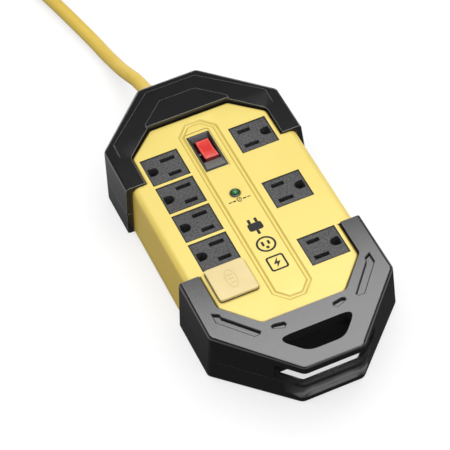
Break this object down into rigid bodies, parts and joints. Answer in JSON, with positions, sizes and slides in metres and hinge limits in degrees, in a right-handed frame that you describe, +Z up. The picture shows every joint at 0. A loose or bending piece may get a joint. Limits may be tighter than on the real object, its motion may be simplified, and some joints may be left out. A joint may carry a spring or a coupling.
{
  "type": "power strip",
  "caption": "Yellow surge power strip with grounded outlets, rocker switch, indicator lamp, safety cap, black end bumpers with a carrying handle and a long cord.",
  "frame": {"origin": "on the floor under the middle of the strip, cord and plug left out", "axes": "+Z up out of the outlets, +Y along the length towards the cord, +X to the right seen from the handle"},
  "size_m": [0.1603, 0.5386, 0.0545],
  "materials": {
    "housing": "satin moulded safety-yellow plastic",
    "bumper": "satin black moulded bumper",
    "outlet": "fine-textured dark grey plastic",
    "cap": "pale peach translucent-looking cap",
    "switch": "satin black plastic",
    "rocker": "glossy red",
    "lamp": "glossy green lens",
    "board": "circuit board",
    "disc": "dipped varistor",
    "copper": "enamelled copper winding",
    "steel": "plated steel",
    "brass": "satin brass",
    "cord": "matte yellow jacket",
    "plug": "moulded yellow plug",
    "tie": "black woven strap",
    "wire_black": "wire insulation",
    "wire_white": "wire insulation",
    "wire_green": "wire insulation"
  },
  "bodies": {
    "housing": {"top_cover": "housing", "base_shell": "housing", "cord_end_bumper_upper": "bumper", "cord_end_bumper_lower": "bumper", "handle_bumper_upper": "bumper", "handle_bumper_lower": "bumper", "switch_bezel": "switch", "rocker_pin": "steel", "lamp_lens": "lamp", "lamp_collar": "switch", "circuit_board": "board", "varistor_1": "disc", "varistor_2": "disc", "varistor_3": "disc", "noise_choke": "copper", "thermal_fuse": "steel", "strain_relief": "plug", "cord_lead": "cord", "cord_coil": "cord", "cord_tail": "cord", "cord_tie": "tie", "plug_boot": "plug", "plug_body": "plug", "plug_blade_1": "brass", "plug_blade_2": "brass", "plug_ground_pin": "brass", "hot_lead": "wire_black", "neutral_lead": "wire_white", "ground_lead": "wire_green", "outlet_left_1": "outlet", "outlet_left_2": "outlet", "outlet_left_3": "outlet", "outlet_left_4": "outlet", "outlet_left_5": "outlet", "outlet_right_1": "outlet", "outlet_right_2": "outlet", "outlet_right_3": "outlet", "case_screw_1": "steel", "case_screw_2": "steel", "case_screw_3": "steel", "case_screw_4": "steel", "case_screw_5": "steel", "case_screw_6": "steel", "neutral_bus_left": "brass", "hot_bus_left": "brass", "ground_bus_left": "steel", "neutral_bus_right": "brass", "hot_bus_right": "brass", "ground_bus_right": "steel"},
    "rocker": {"rocker": "rocker"},
    "safety_cover": {"safety_cover": "cap"}
  },
  "joints": [
    {"name": "rocker_tilt", "type": "hinge", "parent": "housing", "child": "rocker", "pos_m": [-0.0004, 0.0589, 0.0338], "axis": [1, 0, 0], "range_deg": [0, 14]},
    {"name": "safety_cover_pull", "type": "slide", "parent": "housing", "child": "safety_cover", "axis": [0, 0, 1], "range_m": [0, 0.02]}
  ]
}
